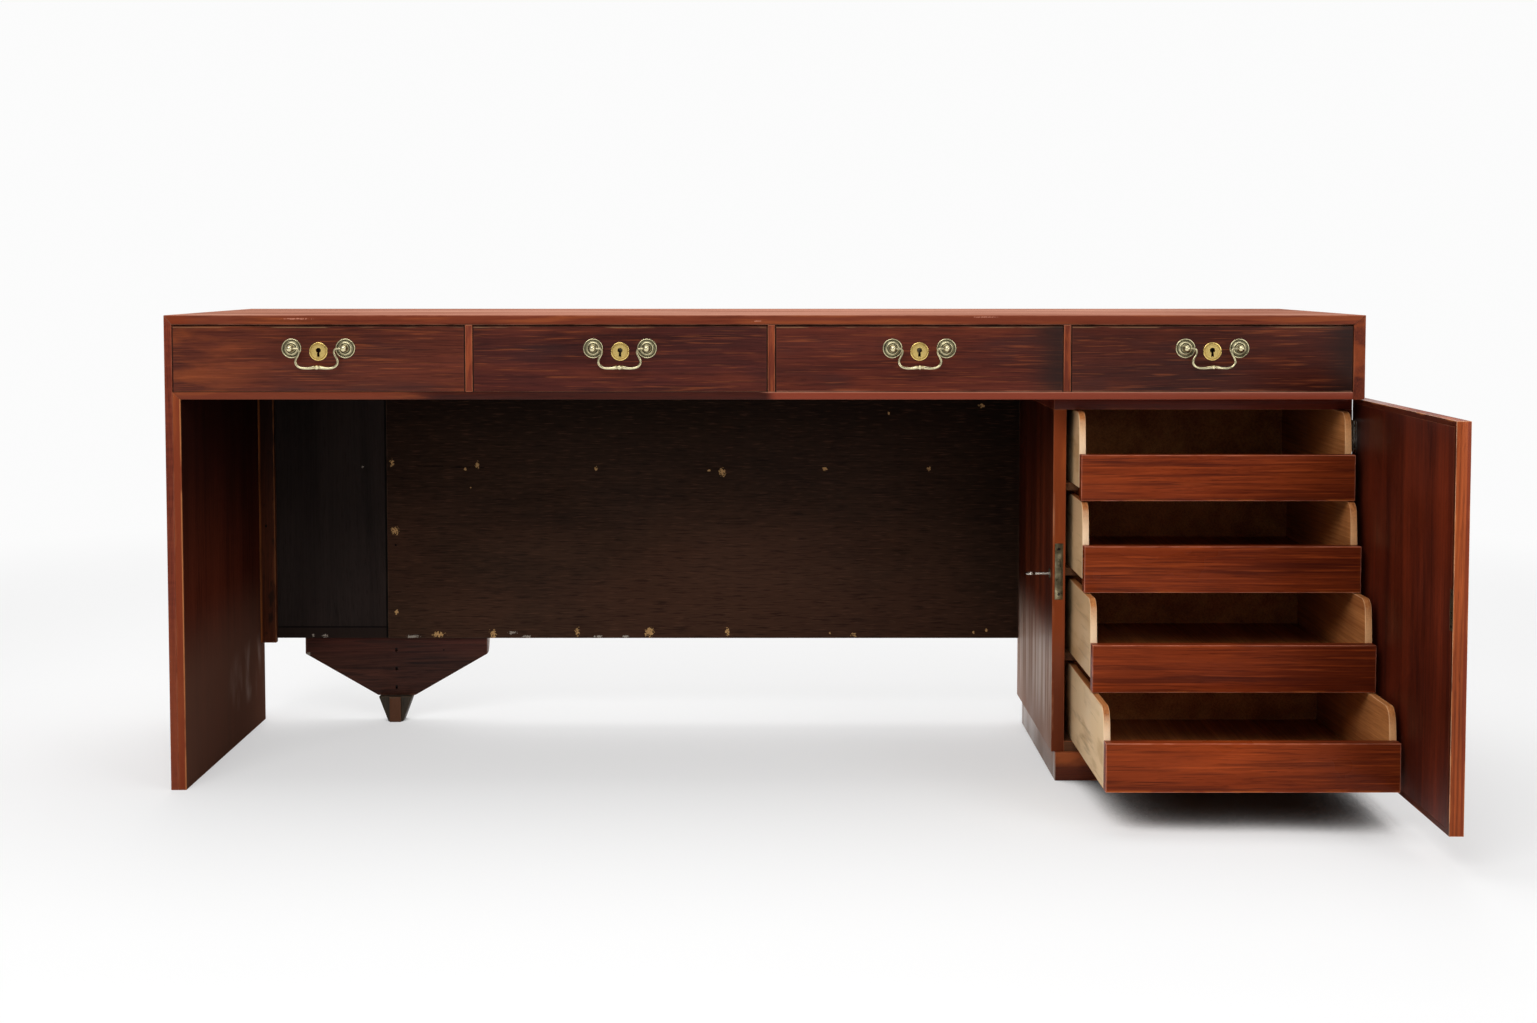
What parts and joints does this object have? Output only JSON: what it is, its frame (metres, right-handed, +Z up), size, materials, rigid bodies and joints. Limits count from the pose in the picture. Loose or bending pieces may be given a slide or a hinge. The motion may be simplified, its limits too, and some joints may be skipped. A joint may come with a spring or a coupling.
{
  "type": "kneehole desk",
  "caption": "Wide kneehole desk: a row of drawers with bail handles over an end panel and a pedestal whose open door shows stacked pull-out trays, with turning key and bolts.",
  "frame": {"origin": "on the floor, in the middle of the rectangle that the desk covers with its door and trays as stored", "axes": "+X to the right as seen from the sitter's side, +Z up; the sitter's side faces -Y"},
  "size_m": [1.8694, 0.9068, 0.74],
  "materials": {
    "top_wood": "satin, worn",
    "case_wood": "satin, worn edges",
    "drawer_front_wood": "satin",
    "panel_wood": "dark stain, dull",
    "inner_wood": "bare, dull",
    "tray_front_wood": "satin",
    "tray_wood": "bare, pale",
    "door_wood": "satin, worn edges",
    "old_brass": "aged, worn bright on the rims",
    "lock_metal": "dull, dark",
    "key_steel": "worn"
  },
  "bodies": {
    "desk": {"top_panel": "top_wood", "left_end_panel": "case_wood", "left_end_liner": "case_wood", "case_right_side": "case_wood", "case_floor_board": "case_wood", "case_back": "panel_wood", "drawer_dividers": "case_wood", "drawer_stops": "inner_wood", "kneehole_panel": "panel_wood", "kneehole_narrow_panel": "panel_wood", "back_batten": "panel_wood", "rear_bracket": "case_wood", "rear_foot": "case_wood", "pedestal_left_side": "case_wood", "pedestal_right_side": "case_wood", "pedestal_top": "case_wood", "pedestal_floor_board": "inner_wood", "pedestal_back": "panel_wood", "plinth": "case_wood", "tray_runners": "inner_wood", "pedestal_lock": "lock_metal", "frame_hinge_leaves": "key_steel"},
    "drawer_1": {"drawer_1_front": "drawer_front_wood", "drawer_1_box": "inner_wood", "handle_1_plates": "old_brass", "lock_1": "old_brass"},
    "bail_1": {"handle_1_bail": "old_brass"},
    "drawer_bolt_1": {"lock_1_bolt": "lock_metal"},
    "drawer_2": {"drawer_2_front": "drawer_front_wood", "drawer_2_box": "inner_wood", "handle_2_plates": "old_brass", "lock_2": "old_brass"},
    "bail_2": {"handle_2_bail": "old_brass"},
    "drawer_bolt_2": {"lock_2_bolt": "lock_metal"},
    "drawer_3": {"drawer_3_front": "drawer_front_wood", "drawer_3_box": "inner_wood", "handle_3_plates": "old_brass", "lock_3": "old_brass"},
    "bail_3": {"handle_3_bail": "old_brass"},
    "drawer_bolt_3": {"lock_3_bolt": "lock_metal"},
    "drawer_4": {"drawer_4_front": "drawer_front_wood", "drawer_4_box": "inner_wood", "handle_4_plates": "old_brass", "lock_4": "old_brass"},
    "bail_4": {"handle_4_bail": "old_brass"},
    "drawer_bolt_4": {"lock_4_bolt": "lock_metal"},
    "tray_1": {"tray_1_front": "tray_front_wood", "tray_1_box": "tray_wood"},
    "tray_2": {"tray_2_front": "tray_front_wood", "tray_2_box": "tray_wood"},
    "tray_3": {"tray_3_front": "tray_front_wood", "tray_3_box": "tray_wood"},
    "tray_4": {"tray_4_front": "tray_front_wood", "tray_4_box": "tray_wood"},
    "door": {"door_panel": "door_wood", "door_lipping": "door_wood", "strike_plate": "lock_metal", "door_hinge_leaves": "key_steel"},
    "key": {"pedestal_key": "key_steel"},
    "side_bolt": {"pedestal_lock_bolt": "lock_metal"}
  },
  "joints": [
    {"name": "drawer_1_slide", "type": "slide", "parent": "desk", "child": "drawer_1", "axis": [0, -1, 0], "range_m": [0, 0.3]},
    {"name": "bail_1_swing", "type": "hinge", "parent": "drawer_1", "child": "bail_1", "pos_m": [-0.69677, -0.05714, 0.689], "axis": [-1, 0, 0], "range_deg": [-17, 160]},
    {"name": "drawer_bolt_1_slide", "type": "slide", "parent": "drawer_1", "child": "drawer_bolt_1", "axis": [0, 0, 1], "range_m": [0, 0.006]},
    {"name": "drawer_2_slide", "type": "slide", "parent": "desk", "child": "drawer_2", "axis": [0, -1, 0], "range_m": [0, 0.3]},
    {"name": "bail_2_swing", "type": "hinge", "parent": "drawer_2", "child": "bail_2", "pos_m": [-0.23232, -0.05714, 0.689], "axis": [-1, 0, 0], "range_deg": [-17, 160]},
    {"name": "drawer_bolt_2_slide", "type": "slide", "parent": "drawer_2", "child": "drawer_bolt_2", "axis": [0, 0, 1], "range_m": [0, 0.006]},
    {"name": "drawer_3_slide", "type": "slide", "parent": "desk", "child": "drawer_3", "axis": [0, -1, 0], "range_m": [0, 0.3]},
    {"name": "bail_3_swing", "type": "hinge", "parent": "drawer_3", "child": "bail_3", "pos_m": [0.22864, -0.05714, 0.689], "axis": [-1, 0, 0], "range_deg": [-17, 160]},
    {"name": "drawer_bolt_3_slide", "type": "slide", "parent": "drawer_3", "child": "drawer_bolt_3", "axis": [0, 0, 1], "range_m": [0, 0.006]},
    {"name": "drawer_4_slide", "type": "slide", "parent": "desk", "child": "drawer_4", "axis": [0, -1, 0], "range_m": [0, 0.3]},
    {"name": "bail_4_swing", "type": "hinge", "parent": "drawer_4", "child": "bail_4", "pos_m": [0.67969, -0.05714, 0.689], "axis": [-1, 0, 0], "range_deg": [-17, 160]},
    {"name": "drawer_bolt_4_slide", "type": "slide", "parent": "drawer_4", "child": "drawer_bolt_4", "axis": [0, 0, 1], "range_m": [0, 0.006]},
    {"name": "tray_1_slide", "type": "slide", "parent": "desk", "child": "tray_1", "axis": [0, -1, 0], "range_m": [-0.072, 0.238]},
    {"name": "tray_2_slide", "type": "slide", "parent": "desk", "child": "tray_2", "axis": [0, -1, 0], "range_m": [-0.107, 0.203]},
    {"name": "tray_3_slide", "type": "slide", "parent": "desk", "child": "tray_3", "axis": [0, -1, 0], "range_m": [-0.185, 0.125]},
    {"name": "tray_4_slide", "type": "slide", "parent": "desk", "child": "tray_4", "axis": [0, -1, 0], "range_m": [-0.301, 0.009]},
    {"name": "door_hinge", "type": "hinge", "parent": "desk", "child": "door", "pos_m": [0.91626, 0.01436, 0.33], "axis": [0, 0, 1], "range_deg": [-1.5, 90]},
    {"name": "key_turn", "type": "hinge", "parent": "desk", "child": "key", "pos_m": [0.44576, 0.04436, 0.32615], "axis": [-1, 0, 0], "range_deg": [0, 90]},
    {"name": "side_bolt_slide", "type": "slide", "parent": "desk", "child": "side_bolt", "axis": [0, -1, 0], "range_m": [0, 0.008]}
  ],
  "couplings": [
    {"joint": "key_turn", "follows": "side_bolt_slide", "rad_per_m": 196.3}
  ]
}
